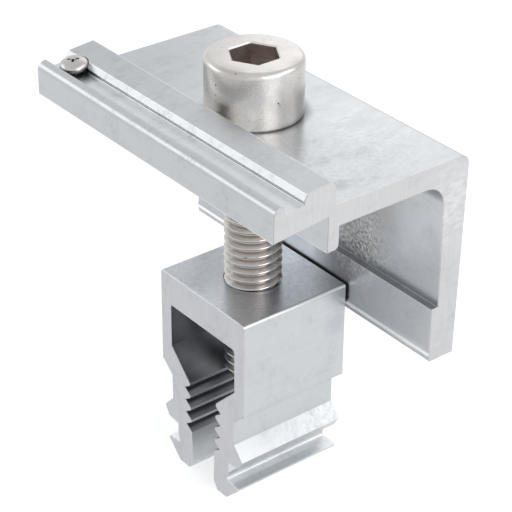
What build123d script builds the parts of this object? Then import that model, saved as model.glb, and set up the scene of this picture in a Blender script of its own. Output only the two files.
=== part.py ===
"""Solar panel end clamp for an aluminium mounting rail.

Four pieces: an extruded bracket that holds down the edge of a panel frame, the cap screw that
tightens it, the click-in channel nut that grips the rail, and a small bonding screw in the lip.

Millimetres. +Z is up the cap screw, +Y runs along both extrusions, and the panel lies on the -X side.
The origin is on the screw's axis, at the level of the nut's feet.
"""
import os
from math import cos, radians, sin, sqrt

from build123d import *

# Clamp screw: a socket head cap screw, threaded all the way, with a plain shank at its crest size
screw_radius = 3.95
screw_tip_chamfer = 0.8
head_radius = 6.5
head_height = 8.0
head_edge_radius = 0.8
socket_flats = 6.0
socket_depth = 4.2
socket_cone_depth = 0.8
socket_cone_tip_radius = 0.05
socket_lead_in = 0.25

# Click-in nut, seen along X: the block that is threaded onto the screw
nut_length = 17.4
nut_height = 30.25
block_width = 18.55
block_edge_radius = 0.4
roof_thickness = 4.8
wall_thickness = 2.15
cavity_corner_radius = 0.4
thread_clearance = 0.08
nut_end_chamfer = 0.1

# Click-in nut: the outside of its two sprung legs, from the feet up
foot_width = 10.8
barb_rise = 2.65
barb_width = 16.15
barb_edge = 0.3
barb_slope = 0.2
barb_level_width = 13.5
barb_root_width = 10.6
barb_root_radius = 0.3
web_lower_height = 1.5
web_upper_height = 1.6
web_width = 11.7
fin_underside_slope = 0.15
fin_nose_width = 15.9
fin_nose_height = 1.55
fin_width = 17.75
fin_slope_height = 2.0
neck_width = 14.1
neck_height = 3.95
shoulder_height = 1.9

# Click-in nut: the slot between the legs, with the serrations that the screw spreads
slot_mouth_width = 6.6
slot_mouth_height = 1.4
slot_mouth_radius = 1.0
slot_bottom_width = 4.8
slot_top_width = 6.0
serration_count = 4
serration_pitch = 2.03
serration_depth = 1.15
serration_crest = 0.4
slot_top_height = 14.65

# Bracket: plate, leg and foot pad
clamp_length = 50.0
clamp_end_chamfer = 0.1
plate_thickness = 3.0
leg_height = 29.15
leg_top_thickness = 4.1
leg_bottom_thickness = 3.2
leg_lean = 0.3
outer_corner_radius = 1.5
inner_corner_radius = 2.95
pad_height = 8.1
pad_depth = 1.1
pad_edge_chamfer = 0.3
bead_height = 1.25
bead_width = 1.3
bead_tip_radius = 0.15
screw_hole_clearance = 0.55

# Bracket: the bar with the clamping lip, tilted so that its front edge bears first
bar_reach = 17.1
bar_back = 7.8
bar_drop = 2.05
bar_tilt = 5.5
bar_thickness = 4.45
bar_corner_radius = 0.6
lip_thickness = 1.95
lip_front_radius = 1.2
lip_inner_radius = 0.35
groove_width = 3.0
groove_depth = 1.25
groove_wall_lean = 0.1
groove_corner_radius = 0.35
groove_chamfer_width = 0.55
groove_chamfer_height = 0.65
rib_back = 7.1
rib_thickness = 1.8
rib_height = 3.15
rib_corner_radius = 0.7

# Bonding screw, near the far end of the groove
bonding_from_end = 3.5
bonding_head_radius = 1.95
bonding_head_height = 1.5
bonding_rim_height = 0.7
bonding_shank_radius = 1.05
bonding_shank_length = 4.05
bonding_point_length = 1.2
bonding_stand_off = 0.3
bonding_side_clearance = 0.04
bonding_thread_clearance = 0.05
recess_length = 1.8
recess_width = 0.42
recess_depth = 0.8
recess_turn = 52

# How the pieces stand to each other, with the loose bracket a little off the screw's axis
bracket_play = 0.45
nut_side_gap = 0.3
bead_clearance = 0.05
foot_overlap = 4.1
tip_clearance = 0.65

# Places worked out from the sizes above
half_length = clamp_length / 2
foot_level = nut_height - foot_overlap
plate_top = foot_level + leg_height
tip_level = slot_top_height + tip_clearance
screw_length = plate_top - tip_level
pad_face = nut_length / 2 + nut_side_gap
leg_inner_face = pad_face + pad_depth


def section(points, rounds):
    """Closed flat section through the points, with each listed corner rounded to its radius."""
    outline = make_face(Polyline(*points, close=True))
    for corner, radius in rounds:
        vertex = outline.vertices().sort_by_distance(Vector(*corner))[0]
        outline = fillet(vertex, radius)
    return outline


def end_edges(body, axis):
    """Edges round the two cut ends of an extrusion that runs along the axis."""
    ends = body.faces().sort_by(axis)
    return ends[0].edges() + ends[-1].edges()


def bar_point(along, above):
    """X and Z of a point given along and above the tilted bar's underside, from its front edge."""
    turn = radians(bar_tilt)
    x = -bar_reach + along * cos(turn) - above * sin(turn)
    z = plate_top - bar_drop + along * sin(turn) + above * cos(turn)
    return x, z


def bar_line(x, above):
    """Point at X on the line that runs at one height above the bar's underside."""
    turn = radians(bar_tilt)
    along = (x + bar_reach + above * sin(turn)) / cos(turn)
    return bar_point(along, above)


def bonding_place(above):
    """Point on the bonding screw's axis, at a height above the bar's underside."""
    along = lip_thickness + bonding_head_radius + bonding_side_clearance
    x, z = bar_point(along, above)
    return Location((x, half_length - bonding_from_end, z), (0, -bar_tilt, 0))


def bracket():
    """Extruded bracket: lip, groove and bar, rib, plate, leg and foot pad in one section."""
    lip_top = bar_line(-bar_reach, bar_thickness)
    lip_inner = bar_point(lip_thickness, bar_thickness)
    groove_floor = bar_thickness - groove_depth
    groove_back = lip_thickness + groove_width
    groove_corner = bar_point(groove_back, groove_floor)
    wall_top = groove_back - groove_wall_lean
    bar_top_back = bar_line(-bar_back, bar_thickness)
    plate_under = plate_top - plate_thickness
    leg_top = leg_inner_face - leg_lean
    outer_corner = (leg_top + leg_top_thickness, plate_top)
    inner_corner = (leg_top, plate_under)
    bead_level = foot_level + bead_height
    bead_tip = (pad_face - nut_side_gap + bead_clearance, bead_level)
    rib_foot = (-rib_back, plate_under - rib_height)
    points = [
        bar_point(0, 0),
        lip_top,
        lip_inner,
        bar_point(lip_thickness, groove_floor),
        groove_corner,
        bar_point(wall_top, bar_thickness - groove_chamfer_height),
        bar_point(wall_top + groove_chamfer_width, bar_thickness),
        bar_top_back,
        (-bar_back, plate_top),
        outer_corner,
        (leg_inner_face + leg_bottom_thickness, foot_level),
        (pad_face + pad_edge_chamfer, foot_level),
        (pad_face, foot_level + pad_edge_chamfer),
        (pad_face, bead_level - bead_width / 2),
        bead_tip,
        (pad_face, bead_level + bead_width / 2),
        (pad_face, foot_level + pad_height),
        (leg_inner_face, foot_level + pad_height),
        inner_corner,
        (-rib_back, plate_under),
        rib_foot,
        (-rib_back - rib_thickness, plate_under - rib_height),
        bar_line(-rib_back - rib_thickness, 0),
    ]
    rounds = [
        (lip_top, lip_front_radius),
        (lip_inner, lip_inner_radius),
        (groove_corner, groove_corner_radius),
        (bar_top_back, bar_corner_radius),
        (outer_corner, outer_corner_radius),
        (inner_corner, inner_corner_radius),
        (bead_tip, bead_tip_radius),
        (rib_foot, rib_corner_radius),
    ]
    body = extrude(Plane.XZ * section(points, rounds), half_length, both=True)
    body = chamfer(end_edges(body, Axis.Y), clamp_end_chamfer)

    # Clearance hole for the clamp screw
    hole_radius = screw_radius + screw_hole_clearance
    body -= Location((0, 0, plate_top)) * Cylinder(hole_radius, 2 * plate_thickness)

    # Round seat for the bonding screw's head, and the hole that its thread is cut in
    seat_radius = bonding_head_radius + bonding_side_clearance
    bottom_centre = (Align.CENTER, Align.CENTER, Align.MIN)
    seat = Cylinder(seat_radius, 2 * bar_thickness, align=bottom_centre)
    body -= bonding_place(groove_floor) * seat
    thread_radius = bonding_shank_radius + bonding_thread_clearance
    body -= bonding_place(0) * Cylinder(thread_radius, 2 * bar_thickness)
    return body


def leg_outside():
    """Outside of one sprung leg as Y and Z points, from the foot up to the block's top edge."""
    barb_top = barb_rise + barb_edge
    shelf = barb_top + barb_slope
    web_knee = shelf + web_lower_height
    fin_underside = web_knee + web_upper_height
    fin_nose = fin_underside + fin_underside_slope + fin_nose_height
    neck_bottom = fin_nose + fin_slope_height
    neck_top = neck_bottom + neck_height
    return [
        (foot_width / 2, 0),
        (barb_width / 2, barb_rise),
        (barb_width / 2, barb_top),
        (barb_level_width / 2, shelf),
        (barb_root_width / 2, shelf),
        (web_width / 2, web_knee),
        (web_width / 2, fin_underside),
        (fin_nose_width / 2, fin_underside + fin_underside_slope),
        (fin_width / 2, fin_nose),
        (neck_width / 2, neck_bottom),
        (neck_width / 2, neck_top),
        (block_width / 2, neck_top + shoulder_height),
        (block_width / 2, nut_height),
    ]


def slot_half_width(level):
    """Half the slot's width at a level: the legs lean in towards their feet."""
    share = (level - slot_mouth_height) / (slot_top_height - slot_mouth_height)
    return (slot_bottom_width + share * (slot_top_width - slot_bottom_width)) / 2


def leg_inside():
    """Inside of one sprung leg as Y and Z points, from the cavity's roof down to the foot."""
    cavity_half = block_width / 2 - wall_thickness
    cavity_knee = slot_top_height + cavity_half - slot_half_width(slot_top_height)
    points = [
        (cavity_half, nut_height - roof_thickness),
        (cavity_half, cavity_knee),
        (slot_half_width(slot_top_height), slot_top_height),
    ]
    flank = (serration_pitch - serration_crest) / 2
    for tooth in range(serration_count):
        top = slot_top_height - serration_crest - tooth * serration_pitch
        root = top - flank
        bottom = root - flank
        points.append((slot_half_width(top), top))
        points.append((slot_half_width(root) + serration_depth, root))
        points.append((slot_half_width(bottom), bottom))
    points.append((slot_half_width(slot_mouth_height), slot_mouth_height))
    points.append((slot_mouth_width / 2, 0))
    return points


def click_nut():
    """Extruded nut: threaded roof, cavity, and two serrated legs with a fin and a barb each."""
    outside = leg_outside()
    inside = leg_inside()
    barb_root = next(point for point in outside if point[0] == barb_root_width / 2)
    points = [
        *outside,
        (0, nut_height),
        (0, nut_height - roof_thickness),
        *inside,
    ]
    rounds = [
        (barb_root, barb_root_radius),
        (outside[-1], block_edge_radius),
        (inside[0], cavity_corner_radius),
        (inside[-2], slot_mouth_radius),
    ]
    half = Plane.YZ * section(points, rounds)
    leg = extrude(half, nut_length / 2, both=True)
    body = leg + mirror(leg, Plane.XZ)
    body = chamfer(end_edges(body, Axis.X), nut_end_chamfer)
    bore = Cylinder(screw_radius + thread_clearance, 2 * roof_thickness)
    body -= Location((0, 0, nut_height)) * bore
    return body


def clamp_screw():
    """Cap screw with its head on the plate and its tip just above the serrations."""
    head_top = plate_top + head_height
    head_edge = (head_radius, head_top)
    points = [
        (0, tip_level),
        (screw_radius - screw_tip_chamfer, tip_level),
        (screw_radius, tip_level + screw_tip_chamfer),
        (screw_radius, plate_top),
        (head_radius, plate_top),
        head_edge,
        (0, head_top),
    ]
    half = Plane.XZ * section(points, [(head_edge, head_edge_radius)])
    body = revolve(half, Axis.Z)

    # Hexagon socket, with its corners broken at the mouth and a shallow cone at its bottom
    floor_level = head_top - socket_depth
    hexagon = RegularPolygon(socket_flats / 2, 6, major_radius=False)
    body -= extrude(Location((0, 0, floor_level)) * hexagon, socket_depth)
    mouth_radius = socket_flats / sqrt(3)
    lead_in = Cone(mouth_radius - socket_lead_in, mouth_radius, socket_lead_in)
    body -= Location((0, 0, head_top - socket_lead_in / 2)) * lead_in
    top_centre = (Align.CENTER, Align.CENTER, Align.MAX)
    cone = Cone(socket_cone_tip_radius, socket_flats / 2, socket_cone_depth, align=top_centre)
    body -= Location((0, 0, floor_level)) * cone
    return body


def bonding_screw():
    """Small pan head screw with a cross recess, its point just through the clamping lip."""
    dome_height = bonding_head_height - bonding_rim_height
    shank_end = bonding_point_length - bonding_shank_length
    side = Polyline(
        (0, -bonding_shank_length),
        (bonding_shank_radius, shank_end),
        (bonding_shank_radius, 0),
        (bonding_head_radius, 0),
        (bonding_head_radius, bonding_rim_height),
    )
    rim = (bonding_head_radius, bonding_rim_height)
    crown = (0, bonding_head_height)
    dome_radius = (bonding_head_radius**2 + dome_height**2) / (2 * dome_height)
    dome = RadiusArc(rim, crown, -dome_radius)
    half = make_face(side + dome + Line(crown, (0, -bonding_shank_length)))
    body = revolve(Plane.XZ * half, Axis.Z)

    # Cross recess
    through = 2 * recess_depth
    cross = Box(recess_length, recess_width, through) + Box(recess_width, recess_length, through)
    body -= Location((0, 0, bonding_head_height), (0, 0, recess_turn)) * cross
    return bonding_place(bar_thickness - groove_depth + bonding_stand_off) * body


on_the_screw = Location((0, -bracket_play, 0))
nodes = {
    "clamp_bracket": on_the_screw * bracket(),
    "clamp_screw": clamp_screw(),
    "click_nut": click_nut(),
    "bonding_screw": on_the_screw * bonding_screw(),
}
os.makedirs("parts", exist_ok=True)
for name, shape in nodes.items():
    export_step(shape, f"parts/{name}.step")
print("Clamp screw length", round(screw_length, 2))
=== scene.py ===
# %% [markdown]
# # A solar panel end clamp, dressed for its portrait
#
# The clamp holds the edge of a solar panel down on its mounting rail. It has four pieces: a bracket and a
# click-in nut, both cut from aluminium extrusions, a stainless cap screw that pulls them together, and a
# small bonding screw in the bracket's groove. Their exact solids are already packed, in metres, in one
# shared frame: +Z is up the cap screw, +Y is along the bracket, and the panel lies on the -X side. This
# lesson loads them, gives each one the surface it has on the real object, and adds what the solids leave
# out, such as the screws' threads.

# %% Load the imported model
import math

import bmesh
import bpy
from mathutils import Matrix, Vector


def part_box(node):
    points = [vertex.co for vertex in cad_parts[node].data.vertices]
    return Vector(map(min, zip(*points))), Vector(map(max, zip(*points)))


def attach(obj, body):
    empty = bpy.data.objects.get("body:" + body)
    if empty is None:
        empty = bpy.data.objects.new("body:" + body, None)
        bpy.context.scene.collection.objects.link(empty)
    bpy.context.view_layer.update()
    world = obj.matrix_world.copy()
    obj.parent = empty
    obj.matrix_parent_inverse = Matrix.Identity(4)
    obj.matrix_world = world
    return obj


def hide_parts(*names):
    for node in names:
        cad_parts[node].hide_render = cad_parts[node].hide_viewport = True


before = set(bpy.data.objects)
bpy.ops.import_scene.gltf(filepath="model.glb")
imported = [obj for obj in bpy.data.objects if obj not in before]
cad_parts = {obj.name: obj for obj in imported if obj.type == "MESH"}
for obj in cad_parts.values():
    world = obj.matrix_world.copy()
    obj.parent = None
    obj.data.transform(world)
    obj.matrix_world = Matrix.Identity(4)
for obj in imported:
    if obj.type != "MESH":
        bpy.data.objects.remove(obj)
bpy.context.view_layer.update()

scene = bpy.context.scene
mm = 0.001

# %% [markdown]
# ## The camera
#
# A product photograph like this one is taken with a long lens from a little way off, so parallel edges stay
# nearly parallel. The camera looks down by about 31 degrees and stands to the left of the clamp's front. It
# is placed as a photographer would say it: turn round the object, look down, roll a hair, then step back
# along the line of sight. Multiplying those turns gives the camera's matrix in one go, with no aiming
# constraint needed.

# %% Place the camera
image_width = 512
focal_length_px = 1839.7
sensor_width = 36.0
camera_turn = math.radians(-38.375)
camera_look_down = math.radians(30.971)
camera_roll = math.radians(0.468)
camera_offset = Vector((0.638, 28.702, 264.478)) * mm

camera_data = bpy.data.cameras.new("photograph_camera")
camera_data.sensor_width = sensor_width
camera_data.lens = focal_length_px * sensor_width / image_width
camera_data.clip_start = 0.01
camera_data.clip_end = 20.0
camera = bpy.data.objects.new("photograph_camera", camera_data)
scene.collection.objects.link(camera)
camera.matrix_world = (
    Matrix.Rotation(camera_turn, 4, "Z")
    @ Matrix.Rotation(math.pi / 2 - camera_look_down, 4, "X")
    @ Matrix.Rotation(camera_roll, 4, "Z")
    @ Matrix.Translation(camera_offset)
)
scene.camera = camera
scene.view_settings.view_transform = "Standard"
print("Lens in mm:", round(camera_data.lens, 1))

# %% [markdown]
# ## Small helpers for node trees
#
# Every material, group and world below is a node tree. Building one by hand repeats the same few moves:
# adding a node with some of its sockets filled in, wiring two nodes, doing sums and mixing. A helper for
# each keeps the later cells short enough to read as a recipe. What flows from one node to the next is
# always written as a pair, the node and the name or number of its output, and the helpers that compute
# something return such a pair.

# %% Helpers that add and wire nodes
def add(tree, kind, sockets=None, **settings):
    """Adds a node, fills in its unlinked sockets and sets its options."""
    node = tree.nodes.new(kind)
    for name, value in settings.items():
        setattr(node, name, value)
    for socket, value in (sockets or {}).items():
        node.inputs[socket].default_value = value
    return node


def wire(tree, source, target, socket):
    """Links a (node, output) pair to another node's input."""
    node, output = source
    tree.links.new(node.outputs[output], target.inputs[socket])


print("Helpers ready: add, wire")

# %% [markdown]
# The sums take numbers or pairs. A Mix node keeps separate sockets for every kind of data, and several of
# them have the same name, so those go by number.

# %% Helpers that compute and mix
def math_node(tree, operation, first, second=None):
    """Result of a Math node. Each operand is a number or a (node, output) pair."""
    node = add(tree, "ShaderNodeMath", operation=operation)
    for place, operand in enumerate((first, second)):
        if isinstance(operand, tuple):
            wire(tree, operand, node, place)
        elif operand is not None:
            node.inputs[place].default_value = operand
    return node, 0


def remap(tree, source, span, onto=(0.0, 1.0), smooth=False):
    """Stretches a (node, output) pair from one span of values onto another."""
    ends = {"From Min": span[0], "From Max": span[1], "To Min": onto[0], "To Max": onto[1]}
    step = "SMOOTHSTEP" if smooth else "LINEAR"
    node = add(tree, "ShaderNodeMapRange", ends, interpolation_type=step)
    wire(tree, source, node, "Value")
    return node, "Result"


mix_sockets = {"FLOAT": (2, 3, 0), "RGBA": (6, 7, 2)}  # the first input, the second input and the result


def mix(tree, kind, factor, first, second, blend="MIX"):
    """Mixes two sides, each a (node, output) pair or a colour, by a (node, output) pair."""
    node = add(tree, "ShaderNodeMix", data_type=kind, blend_type=blend)
    first_socket, second_socket, result = mix_sockets[kind]
    wire(tree, factor, node, "Factor")
    for socket, side in ((first_socket, first), (second_socket, second)):
        if len(side) == 2:
            wire(tree, side, node, socket)
        else:
            node.inputs[socket].default_value = (*side, 1)
    return node, result


print("Helpers ready: math_node, remap, mix")

# %% [markdown]
# ## The studio
#
# Bare metal has almost no colour of its own: it shows the room. The room here is a white studio with a
# slightly duller ceiling, so the world is white near the horizon and a little greyer overhead. The camera
# and the metal see that white through Light Path, while the light that the world itself gives stays low.

# %% Make the white studio
def seen_directly(tree):
    """1 for what the camera sees, also in metal or glass, and 0 for light that falls on the object."""
    path = add(tree, "ShaderNodeLightPath")
    camera_or_glossy = math_node(tree, "MAXIMUM", (path, "Is Camera Ray"), (path, "Is Glossy Ray"))
    return math_node(tree, "MAXIMUM", camera_or_glossy, (path, "Is Transmission Ray"))


def make_studio():
    """World that looks white, with a duller ceiling, and lights the object only a little."""
    world = bpy.data.worlds.new("white_studio")
    world.use_nodes = True
    tree = world.node_tree
    tree.nodes.clear()
    direction = add(tree, "ShaderNodeTexCoord")
    split = add(tree, "ShaderNodeSeparateXYZ")
    wire(tree, (direction, "Generated"), split, "Vector")
    ceiling = remap(tree, (split, "Z"), (0.30, 0.85), onto=(1.0, 0.88), smooth=True)
    lit = add(tree, "ShaderNodeBackground", {"Color": (0.95, 0.97, 1.0, 1), "Strength": 0.40})
    seen = add(tree, "ShaderNodeBackground", {"Color": (0.98, 0.99, 1.0, 1)})
    either = add(tree, "ShaderNodeMixShader")
    out = add(tree, "ShaderNodeOutputWorld")
    wire(tree, ceiling, seen, "Strength")
    wire(tree, seen_directly(tree), either, "Fac")
    wire(tree, (lit, "Background"), either, 1)
    wire(tree, (seen, "Background"), either, 2)
    wire(tree, (either, "Shader"), out, "Surface")
    return world


scene.world = make_studio()
print("World:", scene.world.name)

# %% [markdown]
# The light itself comes from four softboxes. A smooth metal face is bright when the place that it reflects
# is bright, so each softbox stands where one group of the photograph's brightest faces is turned to: behind
# the clamp for the faces that look up, to the left for the groove's slope, to the right for the nut's
# rubbed edges and worn fins, and in front for the sides that the camera sees. A rectangular area lamp is
# the plainest softbox, and its reflection is a soft-edged patch on the screw's round head, as in the
# photograph.

# %% Hang the softboxes
lamp_distance = 0.35
lamp_aim = Vector((0, 0, 35 * mm))


def softbox(name, direction, width, height, power):
    """Rectangular lamp that faces the clamp from one direction. Sides in metres, power in watts."""
    lamp = bpy.data.lights.new(name, "AREA")
    lamp.shape = "RECTANGLE"
    lamp.size = width
    lamp.size_y = height
    lamp.energy = power
    lamp_object = bpy.data.objects.new(name, lamp)
    scene.collection.objects.link(lamp_object)
    towards = Vector(direction).normalized()
    lamp_object.location = lamp_aim + towards * lamp_distance
    lamp_object.rotation_euler = towards.to_track_quat("Z", "Y").to_euler()


softbox("left_softbox", (-0.58, 0.70, 0.42), width=0.24, height=0.13, power=0.105)
softbox("right_softbox", (0.56, -0.54, 0.62), width=0.22, height=0.20, power=0.153)
softbox("front_softbox", (0.03, -0.905, 0.423), width=0.20, height=0.24, power=0.30)
softbox("back_softbox", (0.70, 0.52, 0.50), width=0.18, height=0.16, power=0.05)

# %% [markdown]
# ## The floor
#
# The clamp stands on its nut's feet on a wide white sheet. A plain white diffuse floor renders a little
# grey, so the camera and glossy rays see some white light added to it. That lifts the bare floor to white,
# and the soft shadow round the feet stays.

# %% Lay the floor
floor_half_width = 3.0


def make_floor_paper():
    """White paper that the camera and the metal see a little brighter than it is lit."""
    material = bpy.data.materials.new("studio_floor")
    material.use_nodes = True
    tree = material.node_tree
    tree.nodes.clear()
    paper = add(tree, "ShaderNodeBsdfDiffuse", {"Color": (0.85, 0.85, 0.85, 1)})
    glow = add(tree, "ShaderNodeEmission", {"Color": (0.62, 0.62, 0.62, 1)})
    both = add(tree, "ShaderNodeAddShader")
    out = add(tree, "ShaderNodeOutputMaterial")
    wire(tree, seen_directly(tree), glow, "Strength")
    wire(tree, (paper, "BSDF"), both, 0)
    wire(tree, (glow, "Emission"), both, 1)
    wire(tree, (both, "Shader"), out, "Surface")
    return material


floor_mesh = bpy.data.meshes.new("studio_floor")
sheet = bmesh.new()
bmesh.ops.create_grid(sheet, x_segments=1, y_segments=1, size=floor_half_width)
sheet.to_mesh(floor_mesh)
sheet.free()
floor_mesh.materials.append(make_floor_paper())
floor = bpy.data.objects.new("studio_floor", floor_mesh)
scene.collection.objects.link(floor)
print("Floor laid at z =", round(floor.location.z, 4))

# %% [markdown]
# ## Shared effects as node groups
#
# All four pieces are bare metal, and they share a few effects: fine lines left by a tool, cloudy smudges
# from handling, marks that belong to one place, and edges that catch the light where they were knocked or
# broken. Each effect is a node group with named inputs, built once. A material then places the group and
# gives it its own values. The pattern's place comes in as a vector in millimetres, so every scale below
# reads as features per millimetre.

# %% Helpers that start and place a node group
def new_group(name, inputs, outputs):
    """Starts a node group. Inputs are (name, socket type, default) and outputs are (name, socket type)."""
    group = bpy.data.node_groups.new(name, "ShaderNodeTree")
    for label, kind, default in inputs:
        socket = group.interface.new_socket(label, in_out="INPUT", socket_type=kind)
        if default is not None:
            socket.default_value = default
    for label, kind in outputs:
        group.interface.new_socket(label, in_out="OUTPUT", socket_type=kind)
    return group, add(group, "NodeGroupInput"), add(group, "NodeGroupOutput")


def place_group(tree, group, vector=None, values=None):
    """Places a node group, fills in its inputs and wires its vector, a (node, output) pair."""
    node = add(tree, "ShaderNodeGroup", values, node_tree=group)
    if vector:
        wire(tree, vector, node, "Vector")
    return node


def sockets_of(group):
    """Names of a group's inputs and outputs, to print."""
    return [item.name for item in group.interface.items_tree]


print("Helpers ready: new_group, place_group, sockets_of")

# %% [markdown]
# ### Tool lines
#
# An extrusion die drags fine lines along the whole bar, a saw leaves them across the cut ends, and a lathe
# leaves them round a screw's head. All are the same noise squeezed across one direction and stretched along
# another, so the group only stretches: the material turns the vector so that its X axis runs along the
# lines. Two noises, one coarse and one fine, keep the lines from looking ruled.

# %% Tool lines group
def make_tool_lines():
    group, given, result = new_group(
        "tool_lines",
        [
            ("Vector", "NodeSocketVector", None),
            ("Lines per mm", "NodeSocketFloat", 3.0),
            ("Stretch", "NodeSocketFloat", 0.02),
        ],
        [("Lines", "NodeSocketFloat")],
    )
    squeeze = add(group, "ShaderNodeCombineXYZ", {"Y": 1.0, "Z": 1.0})
    stretch = add(group, "ShaderNodeVectorMath", operation="MULTIPLY")
    coarse = add(group, "ShaderNodeTexNoise", {"Detail": 2.0, "Roughness": 0.6})
    fine = add(group, "ShaderNodeTexNoise", {"Detail": 2.0, "Roughness": 0.6})
    finer = math_node(group, "MULTIPLY", (given, "Lines per mm"), 3.6)
    wire(group, (given, "Stretch"), squeeze, "X")
    wire(group, (given, "Vector"), stretch, 0)
    wire(group, (squeeze, "Vector"), stretch, 1)
    wire(group, (stretch, 0), coarse, "Vector")
    wire(group, (stretch, 0), fine, "Vector")
    wire(group, (given, "Lines per mm"), coarse, "Scale")
    wire(group, finer, fine, "Scale")
    total = math_node(group, "ADD", (coarse, "Fac"), (fine, "Fac"))
    mean = math_node(group, "MULTIPLY", total, 0.5)
    wire(group, remap(group, mean, (0.32, 0.68)), result, "Lines")
    return group


tool_lines = make_tool_lines()
print("Group:", tool_lines.name, sockets_of(tool_lines))

# %% [markdown]
# ### Smudges
#
# Mill-finish aluminium that has been stacked and handled gets cloudy grey patches a few millimetres across.
# Seen close, each patch is a crowd of small scuffs. A soft noise gives the clouds, and a Map Range keeps
# only the stronger part of them, so much of the surface stays clean. A finer noise breaks what is kept into
# scuffs. The scuffs are an output of their own too, for marks whose place is given one by one.

# %% Smudges group
def make_smudges():
    group, given, result = new_group(
        "smudges",
        [
            ("Vector", "NodeSocketVector", None),
            ("Patches per mm", "NodeSocketFloat", 0.2),
            ("Clean share", "NodeSocketFloat", 0.5),
            ("Scuffs per mm", "NodeSocketFloat", 1.6),
        ],
        [("Smudge", "NodeSocketFloat"), ("Scuffs", "NodeSocketFloat")],
    )
    clouds = add(group, "ShaderNodeTexNoise", {"Detail": 3.0, "Roughness": 0.6, "Distortion": 0.3})
    keep = add(group, "ShaderNodeMapRange", {"From Max": 0.72}, interpolation_type="SMOOTHSTEP")
    fine = add(group, "ShaderNodeTexNoise", {"Detail": 5.0, "Roughness": 0.7})
    wire(group, (given, "Vector"), clouds, "Vector")
    wire(group, (given, "Patches per mm"), clouds, "Scale")
    wire(group, (given, "Vector"), fine, "Vector")
    wire(group, (given, "Scuffs per mm"), fine, "Scale")
    wire(group, (clouds, "Fac"), keep, "Value")
    wire(group, (given, "Clean share"), keep, "From Min")
    scuffs = remap(group, (fine, "Fac"), (0.40, 0.62))
    wire(group, math_node(group, "MULTIPLY", (keep, "Result"), scuffs), result, "Smudge")
    wire(group, scuffs, result, "Scuffs")
    return group


smudges = make_smudges()
print("Group:", smudges.name, sockets_of(smudges))

# %% [markdown]
# ### Distance from a place
#
# Some marks belong to one place, such as the painted shadow round the screw's head. This group measures
# how far a point is from a centre. The Count input says how much each direction counts: with (1, 1, 0) it
# is the distance from an upright axis, and the marks become rings.

# %% Distance group
def make_distance():
    group, given, result = new_group(
        "distance_from",
        [
            ("Vector", "NodeSocketVector", None),
            ("Centre", "NodeSocketVector", None),
            ("Count", "NodeSocketVector", (1, 1, 1)),
        ],
        [("Distance", "NodeSocketFloat")],
    )
    offset = add(group, "ShaderNodeVectorMath", operation="SUBTRACT")
    counted = add(group, "ShaderNodeVectorMath", operation="MULTIPLY")
    size = add(group, "ShaderNodeVectorMath", operation="LENGTH")
    wire(group, (given, "Vector"), offset, 0)
    wire(group, (given, "Centre"), offset, 1)
    wire(group, (offset, 0), counted, 0)
    wire(group, (given, "Count"), counted, 1)
    wire(group, (counted, 0), size, 0)
    wire(group, (size, "Value"), result, "Distance")
    return group


distance_from = make_distance()
print("Group:", distance_from.name, sockets_of(distance_from))

# %% [markdown]
# ### Bright edges
#
# Sharp edges of soft metal get rubbed first and catch the light, so the materials paint them a little
# brighter than the faces: partly wear and partly a painted highlight. The Bevel node returns the normal that
# a rounded edge would have. Where that normal and the real one disagree, the surface is close to an edge,
# and their dot product turns the disagreement into a mask.

# %% Bright edges group
def make_bright_edges():
    group, given, result = new_group(
        "bright_edges", [("Reach in m", "NodeSocketFloat", 0.0002)], [("Edge", "NodeSocketFloat")]
    )
    rounded = add(group, "ShaderNodeBevel", samples=6)
    surface = add(group, "ShaderNodeNewGeometry")
    agree = add(group, "ShaderNodeVectorMath", operation="DOT_PRODUCT")
    wire(group, (given, "Reach in m"), rounded, "Radius")
    wire(group, (rounded, "Normal"), agree, 0)
    wire(group, (surface, "Normal"), agree, 1)
    wire(group, remap(group, (agree, "Value"), (0.995, 0.85)), result, "Edge")
    return group


bright_edges = make_bright_edges()
print("Group:", bright_edges.name, sockets_of(bright_edges))
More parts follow.
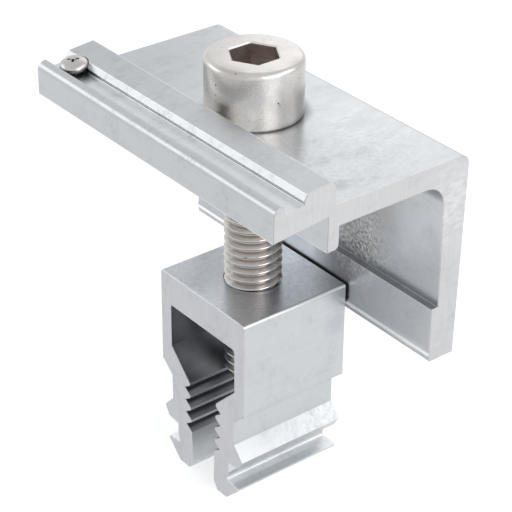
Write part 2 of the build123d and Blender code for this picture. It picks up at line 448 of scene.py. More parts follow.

# %% [markdown]
# ## Building a metal up in layers
#
# A worn metal is easiest to think of in layers, as a painter would: the bare colour first, then smudges,
# rubbed places and painted light and shade on top. Each layer needs a mask, which says where it lies. An
# image could do that, but the solids have no unwrapped map to put one on, and they don't need one: on parts
# as square as these, the place of a point, in millimetres, and the way its surface faces already say which
# face it is on. This first class makes such masks in a material's tree. Multiplying masks keeps only what
# lies in all of them.

# %% Helper that makes masks
class Masks:
    """Makes masks in a node tree. A mask is a (node, output) pair that is 1 in a place and 0 elsewhere."""

    def __init__(self, tree):
        self.tree = tree
        coordinates = add(tree, "ShaderNodeTexCoord")
        in_mm = add(tree, "ShaderNodeMapping", {"Scale": (1 / mm,) * 3})
        self.place = (in_mm, "Vector")
        self.at = add(tree, "ShaderNodeSeparateXYZ")
        self.normal = add(tree, "ShaderNodeSeparateXYZ")
        wire(tree, (coordinates, "Object"), in_mm, "Vector")
        wire(tree, self.place, self.at, "Vector")
        wire(tree, (coordinates, "Normal"), self.normal, "Vector")

    def times(self, *masks):
        """Product of masks and numbers."""
        product = masks[0]
        for mask in masks[1:]:
            product = math_node(self.tree, "MULTIPLY", product, mask)
        return product

    def without(self, mask):
        """1 where the mask is 0, and 0 where it is 1."""
        return math_node(self.tree, "SUBTRACT", 1.0, mask)

    def faces(self, direction, least=0.9):
        """1 where the surface faces along an axis, such as Z, or against it, such as -Z."""
        sign = -1 if direction[0] == "-" else 1
        along = math_node(self.tree, "MULTIPLY", (self.normal, direction[-1]), sign)
        return math_node(self.tree, "GREATER_THAN", along, least)

    def faces_either_way(self, axis, least=0.9):
        """1 where the surface faces along an axis or against it."""
        size = math_node(self.tree, "ABSOLUTE", (self.normal, axis))
        return math_node(self.tree, "GREATER_THAN", size, least)

    def within(self, soft=0.2, **limits):
        """1 inside a box in mm, with soft sides. Each limit is an axis with its lowest and highest place."""
        half = soft / 2
        sides = []
        for axis, (low, high) in limits.items():
            sides.append(remap(self.tree, (self.at, axis), (low - half, low + half), smooth=True))
            sides.append(remap(self.tree, (self.at, axis), (high + half, high - half), smooth=True))
        return self.times(*sides)

    def near(self, centre, reach, core=0.0, count=(1, 1, 1)):
        """1 within core mm of a centre, fading to 0 at reach mm."""
        values = {"Centre": tuple(centre), "Count": count}
        gone = place_group(self.tree, distance_from, self.place, values)
        return remap(self.tree, (gone, "Distance"), (reach, core), smooth=True)


print("Helper ready: Masks")

# %% [markdown]
# The second class is a metal material on top of those masks. It keeps the colour and the roughness so far,
# so that each layer is one line: a colour to mix in, a factor to shade by or roughness to add, and then the
# masks. A plain number among the masks makes the layer weaker.

# %% Helper that builds a metal in layers
class Finish(Masks):
    """Metal material that is built up in layers."""

    def __init__(self, name):
        self.material = bpy.data.materials.new(name)
        self.material.use_nodes = True
        tree = self.material.node_tree
        tree.nodes.clear()
        super().__init__(tree)
        self.metal = add(tree, "ShaderNodeBsdfPrincipled", {"Metallic": 1.0})
        out = add(tree, "ShaderNodeOutputMaterial")
        wire(tree, (self.metal, "BSDF"), out, "Surface")
        self.colour = None
        self.roughness = None

    def tint(self, colour, *masks, blend="MIX"):
        """Mixes a colour in where the masks are."""
        self.colour = mix(self.tree, "RGBA", self.times(*masks), self.colour, colour, blend)

    def shade(self, factor, *masks):
        """Darkens or lightens what is there, and keeps its pattern. The factor is one number or a colour."""
        colour = factor if isinstance(factor, tuple) else (factor,) * 3
        self.tint(colour, *masks, blend="MULTIPLY")

    def roughen(self, amount, *masks):
        """Adds roughness where the masks are, or takes it off with an amount below 0."""
        self.roughness = math_node(self.tree, "ADD", self.roughness, self.times(*masks, amount))

    def finished(self, relief, strength, height):
        """Wires the colour, the roughness and a relief of some height in mm, and returns the material."""
        bump = add(self.tree, "ShaderNodeBump", {"Strength": strength, "Distance": height * mm})
        wire(self.tree, relief, bump, "Height")
        wire(self.tree, self.colour, self.metal, "Base Color")
        wire(self.tree, self.roughness, self.metal, "Roughness")
        wire(self.tree, (bump, "Normal"), self.metal, "Normal")
        return self.material


print("Helper ready: Finish")

# %% [markdown]
# ## Extruded aluminium
#
# The bracket and the nut are slices of two extrusions. Their sides carry die lines along the bar, and their
# cut ends carry upright saw lines, so the material needs two directions of the same group. A mask made from
# the normal picks the one that fits: where the normal points along the bar, the face is a cut end. Saw-cut
# metal is also rougher than the smooth skin that the die leaves. This cell makes what the two pieces share,
# and each piece's own marks follow.

# %% Extruded aluminium
def turned_copies(finish, bar_axis):
    """Places turned so that X runs along the die lines, across them, and along the saw lines."""
    quarter = math.pi / 2
    along_bar = quarter if bar_axis == "Y" else 0
    for rotation in ((0, 0, along_bar), (0, 0, quarter - along_bar), (0, quarter, 0)):
        copy = add(finish.tree, "ShaderNodeMapping", {"Rotation": rotation})
        wire(finish.tree, finish.place, copy, "Vector")
        yield copy, "Vector"


def extruded_aluminium(name, bar_axis, skin, cut, cloud_scale):
    """Mill-finish aluminium with die lines along bar_axis, X or Y. Skin and cut are its two bare colours.

    The finish also keeps the masks that a piece's own marks need: cut_end, skin_side, scuffs, edge and lines.
    """
    finish = Finish(name)
    tree = finish.tree
    finish.cut_end = finish.faces_either_way(bar_axis, 0.6)
    finish.skin_side = finish.without(finish.cut_end)

    along, across, upright = turned_copies(finish, bar_axis)
    stretched = add(tree, "ShaderNodeMapping", {"Scale": cloud_scale})
    wire(tree, finish.place, stretched, "Vector")
    die_lines = place_group(tree, tool_lines, along, {"Lines per mm": 1.8})
    saw_lines = place_group(tree, tool_lines, upright, {"Lines per mm": 2.2, "Stretch": 0.06})
    crossing = place_group(tree, tool_lines, across, {"Lines per mm": 1.6, "Stretch": 0.12})
    clouds = place_group(tree, smudges, (stretched, "Vector"), {"Patches per mm": 0.34, "Clean share": 0.42})
    edges = place_group(tree, bright_edges, values={"Reach in m": 0.15 * mm})
    smudge = (clouds, "Smudge")
    finish.scuffs = (clouds, "Scuffs")
    finish.edge = (edges, "Edge")

    # On the sides the die's lines are crossed by fainter ones, and the cut ends have the saw's lines
    faint = finish.times((crossing, "Lines"), 0.4)
    side_lines = math_node(tree, "ADD", finish.times((die_lines, "Lines"), 0.6), faint)
    finish.lines = mix(tree, "FLOAT", finish.cut_end, side_lines, (saw_lines, "Lines"))

    # Smudges darken the two bare colours, and the lines vary them a little
    finish.colour = skin
    finish.tint(cut, finish.cut_end)
    finish.tint(tuple(channel * 0.5 for channel in skin), smudge, 0.24)
    shaded = add(tree, "ShaderNodeVectorMath", operation="SCALE")
    wire(tree, finish.colour, shaded, 0)
    wire(tree, remap(tree, finish.lines, (0.0, 1.0), onto=(0.95, 1.05)), shaded, "Scale")
    finish.colour = (shaded, 0)

    # The saw, the lines and the smudges all scatter the reflection
    finish.roughness = remap(tree, finish.lines, (0.0, 1.0), onto=(0.27, 0.34))
    finish.roughen(0.10, finish.cut_end)
    finish.roughen(0.10, smudge)
    return finish


print("Helper ready: extruded_aluminium")

# %% [markdown]
# ## The bracket
#
# The bracket is one length of extrusion, and most of its faces get painted light or shade. The bar's front,
# the leg behind the nut and the plate's far half are painted darker, a painted shade, and the ledge above the
# foot pad is painted much darker, a painted shadow under the plate. The groove's floor, the bar's wall
# beside the plate and the plate's underside are painted lighter, a painted light that also brightens what
# reflects them. The solid's mesh could be cut into parts with a material each. A mask made from the way a
# face looks and a box round it is simpler and leaves the mesh alone. The boxes reach a little past the
# metal, so that their soft sides stay off it.

# %% Shade the bracket's faces
screw_low, screw_high = (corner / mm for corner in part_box("clamp_screw"))
head_height = 8.0
plate_top = screw_high.z - head_height
plate_bottom = plate_top - 3.0
leg_face = 10.1
pad_top = 34.25


def around(level, reach):
    """Lowest and highest place within reach of a level."""
    return level - reach, level + reach


bracket = extruded_aluminium(
    "bracket_aluminium", "Y", skin=(0.565, 0.58, 0.595), cut=(0.575, 0.58, 0.59), cloud_scale=(0.4, 1, 1)
)
bar_front = bracket.times(bracket.faces("-X", 0.5), bracket.within(X=(-20, 0)))
on_pad = bracket.within(X=(leg_face - 1.3, leg_face), Z=around(pad_top, 0.3))
ledge = bracket.times(bracket.faces("Z"), on_pad)
underside = bracket.times(bracket.faces("-Z"), bracket.within(X=(-8, 12), Z=around(plate_bottom - 0.3, 1.0)))
behind_nut = bracket.times(
    bracket.faces("-X", 0.5), bracket.within(soft=6.0, X=(6, 12), Y=(-16, 40), Z=(22, 37.2))
)
groove_floor = bracket.times(bracket.faces("Z"), bracket.within(X=(-15.6, -11.8), Z=(56.2, 57.2)))
bar_wall = bracket.times(bracket.faces("X"), bracket.within(X=(-8.4, -7.2), Z=(plate_top, plate_top + 6)))
far_plate = bracket.times(bracket.faces("Z"), bracket.near((-2, 23, plate_top), reach=20.0, core=6.0))
# Painted shade on the bar's front, the ledge, the leg behind the nut and the far plate; painted light on the
# underside, the groove's floor and the bar's wall
bracket.shade(0.91, bar_front)
bracket.shade((0.56, 0.58, 0.60), ledge)
bracket.shade(1.35, underside)
bracket.shade((0.87, 0.875, 0.885), behind_nut)
bracket.shade(1.25, groove_floor)
bracket.shade(1.5, bar_wall)
bracket.shade((0.93, 0.93, 0.935), far_plate)
print("Bracket nodes after its faces:", len(bracket.tree.nodes))

# %% [markdown]
# Then come the scuffs. There is a cloudy pale patch on the plate beside the screw and another high on the
# leg's sawn end. The plate's near half has finer dark scuffs, and where the leg was rubbed, low on its
# inner face, they are pale and rough. Painting each scuff would take an image. Here all of them are the
# scuffs output of one group, and a soft round mask says where they lie, so a patch is moved by changing one
# place.

# %% Scuff the bracket
plate_patch = bracket.near((8, -13, plate_top), reach=9.0, core=2.0, count=(1, 0.6, 1))
end_patch = bracket.near((12, -25, 49), reach=9.0, core=2.0)
near_plate = bracket.near((0, -17, plate_top), reach=17.0, core=6.0)
rubbed_leg = bracket.near((leg_face, -9, 38), reach=9.0, core=3.0)

bracket.tint((0.80, 0.80, 0.80), bracket.faces("Z"), plate_patch, bracket.scuffs, 0.35)
bracket.tint((0.86, 0.86, 0.86), bracket.cut_end, end_patch, bracket.scuffs, 0.45)
small = place_group(bracket.tree, smudges, bracket.place, {"Scuffs per mm": 2.2})
bracket.shade((0.88, 0.88, 0.885), bracket.faces("Z"), near_plate, (small, "Scuffs"))
rubbed = bracket.times(rubbed_leg, bracket.faces("-X"), (small, "Scuffs"))
bracket.tint((1.0, 1.0, 1.0), rubbed, 0.8)
bracket.roughen(0.22, rubbed)
print("Bracket nodes after its scuffs:", len(bracket.tree.nodes))

# %% [markdown]
# Last come the edges and the painted shadows. The extruded edges are painted near white, and so is the
# bead under the foot pad, where the nut bears: partly wear and partly a painted highlight. The burr round
# the sawn ends is dull. A painted shadow lies in the groove round the bonding screw, and another in the
# corner under the cap screw's head. It hides what is below it, so it is a colour mixed in, where the
# painted shade above is only a factor.

# %% Wear the bracket's edges and dress it
def dress(node_name, material):
    """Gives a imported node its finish. The node's shape stays as it is."""
    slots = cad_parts[node_name].data.materials
    slots.clear()
    slots.append(material)
    print("Dressed:", node_name)


aluminium_relief = {"strength": 0.5, "height": 0.004}
worn_and_highlit_edge = (0.95, 0.96, 0.97)
bead_level = 27.4
bonding_at = Vector((-13.514, 21.05, 57.112))
before_screw = bonding_at - Vector((0, 0.9, 0))

# Edges and the bead painted near white: partly wear and partly a painted highlight
bracket.tint(worn_and_highlit_edge, bracket.edge, bracket.skin_side)
bead = bracket.within(X=(8, 9.2), Z=(bead_level - 0.2, bead_level + 0.25))
bracket.tint(worn_and_highlit_edge, bracket.faces("-X", 0.5), bead)
burr = bracket.times(bracket.cut_end, bracket.without(bracket.faces_either_way("Y", 0.95)))
bracket.shade(0.88, burr)
bracket.roughen(0.15, burr)
# Painted shadow in the groove round the bonding screw
round_bonding_screw = bracket.near(before_screw, reach=3.3, core=1.5, count=(1, 0.8, 1))
in_groove = bracket.within(Z=(55, 57.6))
bracket.tint((0.14, 0.145, 0.15), round_bonding_screw, in_groove, 0.6)
# Painted shadow on the plate round the cap screw's head
round_head = bracket.near((0, 0, 0), reach=8.0, core=6.4, count=(1, 1, 0))
away_from_bar = bracket.within(soft=2.0, X=(-3, 8))
bracket.tint((0.12, 0.12, 0.125), bracket.faces("Z"), round_head, away_from_bar, 0.7)
dress("clamp_bracket", bracket.finished(bracket.lines, **aluminium_relief))

# %% [markdown]
# ## The nut
#
# The nut has the same skin, with the die lines the other way, as its extrusion runs along X. Its cavity and
# the slot between its legs are painted darker and bluer, a painted shade in the hollows, and the crests of
# the serrations are painted near white, a painted highlight. Two small darker patches lie on the block's
# near side. The cavity and the slot are two boxes, so one loop shades both, and the crests are what faces
# the slot's middle inside a thin box.

# %% Shade the nut's slot and side
nut_low, nut_high = (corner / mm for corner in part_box("click_nut"))
cavity = {"Y": around(0, 7.3), "Z": (15.8, 25.8)}
slot_in_legs = {"Y": around(0, 5.0), "Z": (7.0, 15.8)}
serrations = {"Y": around(0, 3.05), "Z": (6.6, 14.8)}

nut = extruded_aluminium(
    "nut_aluminium", "X", skin=(0.565, 0.58, 0.595), cut=(0.535, 0.545, 0.56), cloud_scale=(1, 0.7, 0.7)
)
# Painted shade in the cavity and the slot
for opening in (cavity, slot_in_legs):
    nut.shade((0.62, 0.645, 0.69), nut.within(**opening), nut.skin_side)
# Painted highlight on the serrations' crests
nut.tint((0.93, 0.94, 0.95), nut.faces_either_way("Y"), nut.within(soft=0.05, **serrations))
# Two small darker patches on the block's near side
for darker_patch_at in ((7.3, -9.28, 24.8), (8.0, -9.28, 28.6)):
    nut.shade((0.85, 0.87, 0.89), nut.near(darker_patch_at, reach=3.0, core=0.6))
print("Nut's height in mm:", round(nut_high.z - nut_low.z, 2))

# %% [markdown]
# The nut's top is painted brighter than the rest of its skin, a painted light, and fine scuffs mottle it.
# A painted shade darkens it towards its far corner, under the bracket, and painted light makes it paler
# again beside the bracket's foot pad. Layers that only shade keep each other's pattern, so the scuffs still
# show through the darker corner.

# %% Shade the nut's top
top_face = nut.times(nut.faces("Z"), nut.within(Z=(nut_high.z - 0.2, nut_high.z + 1)))
top_scuffs = place_group(nut.tree, smudges, nut.place, {"Scuffs per mm": 1.9})
# Painted light on the whole top, painted shade towards the far corner and painted light by the foot pad
nut.shade((1.40, 1.41, 1.43), top_face)
nut.shade(0.86, top_face, (top_scuffs, "Scuffs"))
nut.shade(0.68, top_face, nut.near((-6, 9, nut_high.z), reach=12.0, core=4.0))
nut.shade(1.18, top_face, nut.near((8.2, 1, nut_high.z), reach=4.5, core=1.0))
print("Nut nodes after its top:", len(nut.tree.nodes))

# %% [markdown]
# The legs rub along the inside of the rail, so the tops of the barbs are rough and the slopes of the fins
# are scuffed. The tops of the barbs and the web above them are also painted paler, a painted light, and the
# barbs' outer edges get a painted highlight. A painted shade runs as a dark line along the block's
# shoulder. At the end the extruded edges are painted brighter, partly wear and partly a painted highlight,
# most of it on the two long edges of the top. Each place is a box that takes in both legs at once, because
# the nut is the same on both sides.

# %% Wear the nut's legs and edges and dress it
web_top = 6.2
barb_edge_half_width = 7.85
shoulder_half_width = 8.9

outside = nut.times(nut.without(nut.within(Y=around(0, 5.1))), nut.skin_side)
on_barbs = nut.times(outside, nut.within(Z=(-1, web_top)))
barb_tops = nut.times(on_barbs, nut.faces("Z", 0.5))
# Painted light on the barbs' tops
nut.shade((1.6, 1.6, 1.58), barb_tops)
nut.roughen(0.14, barb_tops)
# Painted light on the web
nut.shade(1.12, on_barbs, nut.faces_either_way("Y", 0.95), nut.within(Z=(2.8, web_top)))
barb_edges = nut.without(nut.within(soft=0.1, Y=around(0, barb_edge_half_width)))
# Painted highlight on the barbs' outer edges
nut.tint(worn_and_highlit_edge, barb_edges, nut.within(Z=(2.3, 3.3)), nut.faces("Z", 0.5))
shoulders = nut.without(nut.within(soft=0.1, Y=around(0, shoulder_half_width)))
# Painted shade along the block's shoulder
nut.shade(0.7, shoulders, nut.within(soft=0.06, Z=(15.75, 15.88)))
fin_slopes = nut.times(outside, nut.faces("Z", 0.4), nut.within(soft=8.0, X=(-2, 14), Z=(4, 14)))
nut.shade(0.84, fin_slopes, nut.scuffs)
# Edges painted brighter: partly wear and partly a painted highlight
nut.tint((0.9, 0.91, 0.92), nut.edge, nut.skin_side, 0.5)
at_top = nut.within(Z=(nut_high.z - 0.45, nut_high.z + 1))
nut.tint(worn_and_highlit_edge, nut.faces_either_way("Y", 0.3), nut.faces("Z", 0.2), at_top)
nut_aluminium = nut.finished(nut.lines, **aluminium_relief)
dress("click_nut", nut_aluminium)

# %% [markdown]
# ## Stainless steel
#
# The screws are stainless, which is warmer and darker than aluminium. A cap screw is cold formed, so its
# head is smooth with faint lines round it and a few tiny pits. The lines go round the axis, so this
# material turns places into radius and height first: the tool lines then have nothing to follow but the
# ring they are on. A fine grain keeps the head satin instead of mirror-bright.

# %% Stainless steel
def stainless_steel(name, bare, smudged, axis_at=(0, 0, 0)):
    """Formed stainless steel for a screw whose axis stands at axis_at. Bare and smudged are two colours.

    The finish also keeps each point's distance from_axis, in mm, and the lines round the axis.
    """
    finish = Finish(name)
    tree = finish.tree
    upright_axis = {"Centre": tuple(axis_at), "Count": (1, 1, 0)}
    finish.from_axis = (place_group(tree, distance_from, finish.place, upright_axis), "Distance")
    rings = add(tree, "ShaderNodeCombineXYZ")
    wire(tree, finish.from_axis, rings, "Y")
    wire(tree, (finish.at, "Z"), rings, "Z")
    round_lines = place_group(tree, tool_lines, (rings, "Vector"), {"Lines per mm": 1.6})
    finish.lines = (round_lines, "Lines")
    broad = {"Patches per mm": 0.3, "Clean share": 0.40, "Scuffs per mm": 0.8}
    tiny = {"Patches per mm": 1.5, "Clean share": 0.68, "Scuffs per mm": 3.0}
    clouds = place_group(tree, smudges, finish.place, broad)
    pits = place_group(tree, smudges, finish.place, tiny)
    grain = add(tree, "ShaderNodeTexNoise", {"Scale": 7.0, "Detail": 1.0, "Roughness": 0.5})
    wire(tree, finish.place, grain, "Vector")
    finish.colour = bare
    finish.tint(smudged, (clouds, "Smudge"), 0.35)
    finish.tint((0.16, 0.14, 0.13), (pits, "Smudge"))
    finish.roughness = remap(tree, (grain, "Fac"), (0.35, 0.65), onto=(0.265, 0.285))
    finish.roughen(0.06, (clouds, "Smudge"))
    return finish


steel_relief = {"strength": 0.25, "height": 0.002}
print("Helper ready: stainless_steel")

# %% [markdown]
# ## The cap screw's finish
#
# The roots of the thread are painted dark and brown, a painted shade in the grooves. On the head, the side
# near the bar is painted bright, a painted light, and three patches round it are painted darker, a painted
# shade that dims its reflections. Where the head stands on the plate a dark line is painted, a painted
# contact shadow. The roots could be painted along the helix, but the crests all lie at one distance from the
# axis and the roots at another, so a mask of that distance finds them without following the thread.

# %% Finish the thread and the head
thread_root = 3.24
thread_crest = 3.95
cap = stainless_steel("cap_screw_steel", bare=(0.645, 0.62, 0.595), smudged=(0.46, 0.43, 0.41))
on_thread = cap.within(Z=(0, plate_top - 2.5))
in_root = remap(cap.tree, cap.from_axis, (thread_crest - 0.10, thread_root + 0.11), smooth=True)
# Painted shade in the thread's roots
cap.tint((0.27, 0.235, 0.215), in_root, on_thread, 0.65)
cap.roughen(-0.07, on_thread)
painted_light_near_bar = cap.within(soft=3.0, X=(-9, -2), Z=(plate_top - 1, plate_top + 3.6))
front_painted_shade = cap.near((2.9, -5.8, plate_top + 4), reach=3.6, core=1.0, count=(1, 1, 0.6))
low_painted_shade = cap.near((-1.4, -6.3, plate_top + 1.2), reach=3.6, core=1.2, count=(1, 1, 0.7))
high_painted_shade = cap.near((-6.0, -2.6, plate_top + 6.4), reach=3.2, core=1.2)
# Painted light on the side near the bar, then painted shade on three patches of the head
cap.shade((1.4, 1.37, 1.33), painted_light_near_bar)
cap.shade((0.80, 0.80, 0.805), front_painted_shade)
cap.shade((0.80, 0.80, 0.805), low_painted_shade)
cap.shade((0.84, 0.83, 0.825), high_painted_shade)
# Painted contact shadow where the head stands on the plate
cap.tint((0.08, 0.075, 0.07), cap.within(soft=0.25, Z=around(plate_top, 0.2)), 0.85)
print("Cap screw nodes so far:", len(cap.tree.nodes))

# %% [markdown]
# The forming punch leaves the socket rough, brown and scratched. Its mouth is pressed to a narrow flare,
# which the key keeps a little brighter than the rest. Both are found by their distance from the axis and
# their height, like the thread's roots. The bonding screw has the same steel, a shade darker, with its
# rings round its own axis, so it takes the shared finish as it is.

# %% Finish the socket and the bonding screw
socket_floor = 58.2
mouth_flare = 0.16
in_socket = math_node(cap.tree, "LESS_THAN", cap.from_axis, 3.9)
inside = cap.times(in_socket, cap.within(soft=0.05, Z=(socket_floor, screw_high.z - mouth_flare - 0.02)))
scratched = remap(cap.tree, cap.lines, (0.2, 0.8))
cap.tint((0.62, 0.56, 0.53), inside)
cap.tint((0.36, 0.31, 0.29), inside, scratched, 0.6)
cap.roughen(0.10, inside)
flare = cap.within(soft=0.02, Z=(screw_high.z - mouth_flare, screw_high.z - 0.01))
cap.tint((0.95, 0.93, 0.91), in_socket, flare, 0.25)
cap_screw_steel = cap.finished(cap.lines, **steel_relief)

bonding = stainless_steel(
    "bonding_screw_steel", bare=(0.55, 0.53, 0.52), smudged=(0.40, 0.38, 0.37), axis_at=bonding_at
)
bonding_steel = bonding.finished(bonding.lines, **steel_relief)
print("Materials:", cap_screw_steel.name, bonding_steel.name)

# %% [markdown]
# ## Helpers that turn and finish a piece
#
# Screws are bodies of revolution. The helper below makes one as a turner thinks of it: from one end to the
# other as rings of a radius at a height. It starts from a capped circle and extrudes its end cap from ring
# to ring, so the shape is closed and watertight at every moment. Work is done in millimetres and scaled to
# metres at the end.

# %% Helpers for turned pieces
def turned(segments, rings, turn=0.0):
    """Closed bmesh through (radius, height) rings, from the first to the last. Sizes in mm."""
    body = bmesh.new()
    radius, height = rings[0]
    start = Matrix.Translation((0, 0, height)) @ Matrix.Rotation(turn, 4, "Z")
    bmesh.ops.create_circle(body, cap_ends=True, segments=segments, radius=radius, matrix=start)
    cap_face = body.faces[:][0]
    for next_radius, next_height in rings[1:]:
        grown = bmesh.ops.extrude_discrete_faces(body, faces=[cap_face])
        cap_face = grown["faces"][0]
        share = next_radius / radius
        bmesh.ops.scale(body, vec=(share, share, 1), verts=cap_face.verts)
        bmesh.ops.translate(body, vec=(0, 0, next_height - height), verts=cap_face.verts)
        radius, height = next_radius, next_height
    return body


def round_rim(body, height, radius, segments):
    """Rounds the rim whose edges lie wholly at one height."""
    rim = [edge for edge in body.edges if all(abs(corner.co.z - height) < 0.001 for corner in edge.verts)]
    bmesh.ops.bevel(
        body, geom=rim, offset=radius, segments=segments, profile=0.5, affect="EDGES", material=-1
    )


print("Helpers ready: turned, round_rim")

# %% [markdown]
# Some shapes are easiest to think of as one solid taken from another, such as a hexagon key's socket.
# Blender's Boolean modifier does that. The helper gives both shapes to short-lived objects, reads back the
# evaluated result as a bmesh, and clears the objects away, so later cells can carve as freely as they
# bevel.

# %% Helpers that carve and join
def carved(whole, cutter):
    """Takes one closed bmesh from another and returns the result."""
    helpers = []
    for part in (whole, cutter):
        bmesh.ops.recalc_face_normals(part, faces=part.faces)
        mesh = bpy.data.meshes.new("helper")
        part.to_mesh(mesh)
        part.free()
        helper = bpy.data.objects.new("helper", mesh)
        scene.collection.objects.link(helper)
        helpers.append(helper)
    boolean = helpers[0].modifiers.new("carve", "BOOLEAN")
    boolean.operation = "DIFFERENCE"
    boolean.solver = "EXACT"
    boolean.object = helpers[1]
    result = bmesh.new()
    result.from_object(helpers[0], bpy.context.evaluated_depsgraph_get())
    for helper in helpers:
        bpy.data.meshes.remove(helper.data)
    return result


def joined(first, second):
    """Puts a second closed bmesh, which reaches into the first, beside it in one."""
    mesh = bpy.data.meshes.new("helper")
    second.to_mesh(mesh)
    second.free()
    first.from_mesh(mesh)
    bpy.data.meshes.remove(mesh)
    return first


print("Helpers ready: carved, joined")

# %% [markdown]
# A finished piece has its normals outwards, smooth faces with sharp edges where faces meet at a clear
# angle, its place in its mesh, and a body to ride on. One helper does that for every piece, so none is
# forgotten.

# %% Helper that finishes a piece
sharp_angle = math.radians(32)


def finish_piece(body, name, material, rides_on, place=None):
    """Makes a bmesh in mm a piece in metres. Edges that turn by more than sharp_angle stay crisp."""
    if place:
        bmesh.ops.transform(body, matrix=place, verts=body.verts)
    bmesh.ops.scale(body, vec=(mm, mm, mm), verts=body.verts)
    bmesh.ops.recalc_face_normals(body, faces=body.faces)
    for face in body.faces:
        face.smooth = True
    for edge in body.edges:
        edge.smooth = edge.is_manifold and edge.calc_face_angle(0) < sharp_angle
    open_edges = sum(not edge.is_manifold for edge in body.edges)
    mesh = bpy.data.meshes.new(name)
    body.to_mesh(mesh)
    body.free()
    mesh.materials.append(material)
    piece = bpy.data.objects.new(name, mesh)
    scene.collection.objects.link(piece)
    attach(piece, rides_on)
    print(name, "has", len(mesh.polygons), "faces and", open_edges, "open edges")
    return piece


print("Helper ready: finish_piece")

# %% [markdown]
# ## The cap screw
#
# It is an M8 screw, 40 mm long and threaded over its whole length, with a 13 mm head and a 6 mm hexagon
# socket.
#
# A real thread is rolled: one tooth's outline goes round and climbs by its pitch each turn. Blender's spin
# does the same when it is given a small step upwards. One pitch of outline, with a rounded crest and root,
# is spun once round, and that turn is copied upwards past the screw's length, which is far quicker than
# spinning all of it. Each turn's top meets the next turn's bottom, so merging doubles leaves one tube,
# which is then cut square at both ends and capped. Left-handed would be a wrong part: a positive turn about
# +Z with a positive climb is right-handed.

# %% Spin a thread
pitch = 1.25
thread_start = 12.8
thread_outline = (
    (0.00, 0.00), (0.08, 0.03), (0.15, 0.17), (0.385, 0.80), (0.43, 0.94), (0.50, 1.00),
    (0.57, 0.94), (0.615, 0.80), (0.85, 0.17), (0.92, 0.03), (1.00, 0.00),
)  # share of the pitch, share of the tooth's height


def threaded(root, crest, rise, start, bottom, top, steps=48):
    """Open threaded tube, right-handed. Start is the height of one root, rise the pitch. Sizes in mm."""
    rod = bmesh.new()
    tooth = crest - root
    line = [rod.verts.new((root + out * tooth, 0, start + along * rise)) for along, out in thread_outline]
    for lower, upper in zip(line, line[1:]):
        rod.edges.new((lower, upper))
    bmesh.ops.spin(
        rod,
        geom=rod.verts[:] + rod.edges[:],
        axis=(0, 0, 1),
        cent=(0, 0, 0),
        dvec=(0, 0, rise / steps),
        angle=math.tau,
        steps=steps,
    )
    first_turn = rod.verts[:] + rod.edges[:] + rod.faces[:]
    for turn in range(1, math.ceil((top - start) / rise) + 1):
        copied = bmesh.ops.duplicate(rod, geom=first_turn)["geom"]
        corners = [item for item in copied if isinstance(item, bmesh.types.BMVert)]
        bmesh.ops.translate(rod, vec=(0, 0, turn * rise), verts=corners)
    bmesh.ops.remove_doubles(rod, verts=rod.verts, dist=0.0005)
    for height, outwards in ((bottom, -1), (top, 1)):
        everything = rod.verts[:] + rod.edges[:] + rod.faces[:]
        cut = {"plane_co": (0, 0, height), "plane_no": (0, 0, outwards), "clear_outer": True}
        bmesh.ops.bisect_plane(rod, geom=everything, dist=0.0001, **cut)
    return rod


shank = threaded(thread_root, thread_crest, pitch, thread_start, bottom=screw_low.z, top=plate_top + 0.4)
print("Thread faces:", len(shank.faces))

# %% [markdown]
# The first turns are chamfered so that the screw finds its nut. Every point near the tip is drawn in to a
# cone before the ends are capped.

# %% Chamfer the tip
tip_chamfer = 0.8


def draw_in(body, tip, tip_radius, slope):
    """Draws points in to a cone that has tip_radius at the tip's height and widens by slope per mm."""
    for corner in body.verts:
        allowed = tip_radius + slope * (corner.co.z - tip)
        distance = corner.co.xy.length
        if distance > allowed:
            corner.co.xy *= allowed / distance


def fill_ends(body):
    """Caps every open loop and turns the faces outwards."""
    bmesh.ops.holes_fill(body, edges=[edge for edge in body.edges if edge.is_boundary], sides=0)
    bmesh.ops.recalc_face_normals(body, faces=body.faces)


draw_in(shank, screw_low.z, tip_radius=thread_crest - tip_chamfer, slope=1.0)
fill_ends(shank)
print("Open edges after capping:", sum(edge.is_boundary for edge in shank.edges))

# %% [markdown]
# The head is a plain turned cylinder with a generous round on its rim and a small one underneath. Its
# socket is a six-sided body with a flared mouth and a shallow cone at the bottom, which is carved out.

# %% Turn the head and carve its socket
head_radius = 6.5
head_top = screw_high.z
socket_corner = 3.0 / math.cos(math.pi / 6)
socket_depth = 4.2
socket_cone_depth = 0.8

head = turned(96, [(head_radius, plate_top), (head_radius, head_top)])
round_rim(head, head_top, radius=0.8, segments=7)
round_rim(head, plate_top, radius=0.22, segments=3)
socket = turned(
    6,
    [
        (0.05, head_top - socket_depth - socket_cone_depth),
        (socket_corner, head_top - socket_depth),
        (socket_corner, head_top - mouth_flare),
        (socket_corner + 0.20, head_top),
        (socket_corner + 0.45, head_top + 0.2),
    ],
    turn=math.pi / 6,
)
head = carved(head, socket)
cap_screw = finish_piece(joined(head, shank), "cap_screw", cap_screw_steel, "screw")
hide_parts("clamp_screw")

# %% [markdown]
# ## The nut's thread
#
# The solid nut has a plain bore. On the real one, ridges fill the screw's grooves, and at the bore's mouth
# that closes the dark gap that a plain bore would leave. The ridges are what is left of a sleeve once a
# slightly larger screw is carved out of it. That larger screw starts at the same height as the real one, so
# the two threads stay in step while the screw turns and climbs.

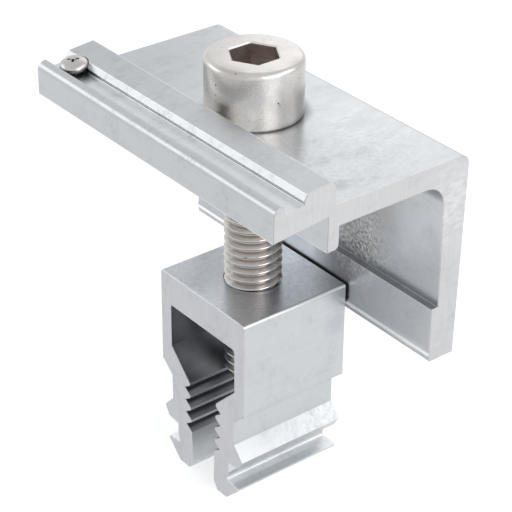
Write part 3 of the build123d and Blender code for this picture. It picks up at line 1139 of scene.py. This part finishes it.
# %% Tap the nut
thread_gap = 0.05
sleeve_radius = 4.06
roof_bottom = nut_high.z - 4.8
mouth = 0.35
sleeve = turned(96, [(sleeve_radius, roof_bottom + mouth), (sleeve_radius, nut_high.z - mouth)])
tap_root = thread_root + thread_gap
tap_crest = thread_crest + thread_gap
tap = threaded(tap_root, tap_crest, pitch, thread_start, bottom=roof_bottom, top=nut_high.z + 1)
fill_ends(tap)
finish_piece(carved(sleeve, tap), "nut_thread", nut_aluminium, "nut")

# %% [markdown]
# ## The bonding screw
#
# A small self-tapping screw stands in the bracket's groove. Its point bites through the panel frame's
# coating and connects it to earth. The head is domed and tucked in below, with a cross recess that a driver
# has worn a little. The dome is a stack of turned rings, the recess two tapered bars and a cone carved out
# of it, and the shank a finer thread that ends in a point.

# %% Turn the bonding screw's head
recess_turn = math.radians(52)
arm_size = (1.9, 0.36, 1.0)
arm_level = 1.25
arm_taper = (0.45, 0.7, 1)


def cross_arm(turn):
    """One bar of the cross recess, narrower at its bottom."""
    arm = bmesh.new()
    bmesh.ops.create_cube(arm, size=1)
    bmesh.ops.scale(arm, vec=arm_size, verts=arm.verts)
    lower = [corner for corner in arm.verts if corner.co.z < 0]
    bmesh.ops.scale(arm, vec=arm_taper, verts=lower)
    place = Matrix.Rotation(turn, 4, "Z") @ Matrix.Translation((0, 0, arm_level))
    bmesh.ops.transform(arm, matrix=place, verts=arm.verts)
    return arm


bonding_head = turned(
    64,
    [
        (1.42, 0.0), (1.62, 0.05), (1.84, 0.28), (1.93, 0.50), (1.95, 0.66), (1.90, 0.86),
        (1.74, 1.07), (1.46, 1.26), (1.08, 1.40), (0.62, 1.48), (0.05, 1.50),
    ],
)
for quarter_turn in (0, math.pi / 2):
    bonding_head = carved(bonding_head, cross_arm(recess_turn + quarter_turn))
recess_cone = turned(24, [(0.12, 0.62), (0.46, 1.7)])
bonding_head = carved(bonding_head, recess_cone)
print("Head faces:", len(bonding_head.faces))

# %% [markdown]
# The shank's thread is finer and sharper. Below it, points are drawn in to the tip in the same way as on
# the cap screw. The whole screw leans with the bar that it stands in.

# %% Thread its shank and set it in the groove
bonding_tilt = math.radians(-5.5)
shank_length = 4.05
shank_crest = 1.05
point_length = 1.2
bonding_shank = threaded(
    root=0.82, crest=shank_crest, rise=0.5, start=-5.0, bottom=-shank_length, top=0.2, steps=32
)
draw_in(bonding_shank, -shank_length, tip_radius=0.02, slope=shank_crest / point_length)
fill_ends(bonding_shank)
stand = Matrix.Translation(bonding_at) @ Matrix.Rotation(bonding_tilt, 4, "Y")
bonding_body = joined(bonding_head, bonding_shank)
bonding_screw = finish_piece(
    bonding_body, "bonding_fastener", bonding_steel, "bracket", place=stand
)
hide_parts("bonding_screw")
solid_low, solid_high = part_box("bonding_screw")
corners = [corner.co for corner in bonding_screw.data.vertices]
piece_box = [pick(corner[axis] for corner in corners) for pick in (min, max) for axis in range(3)]
print("Solid:", [round(side / mm, 2) for side in (*solid_low, *solid_high)])
print("Piece:", [round(side / mm, 2) for side in piece_box])
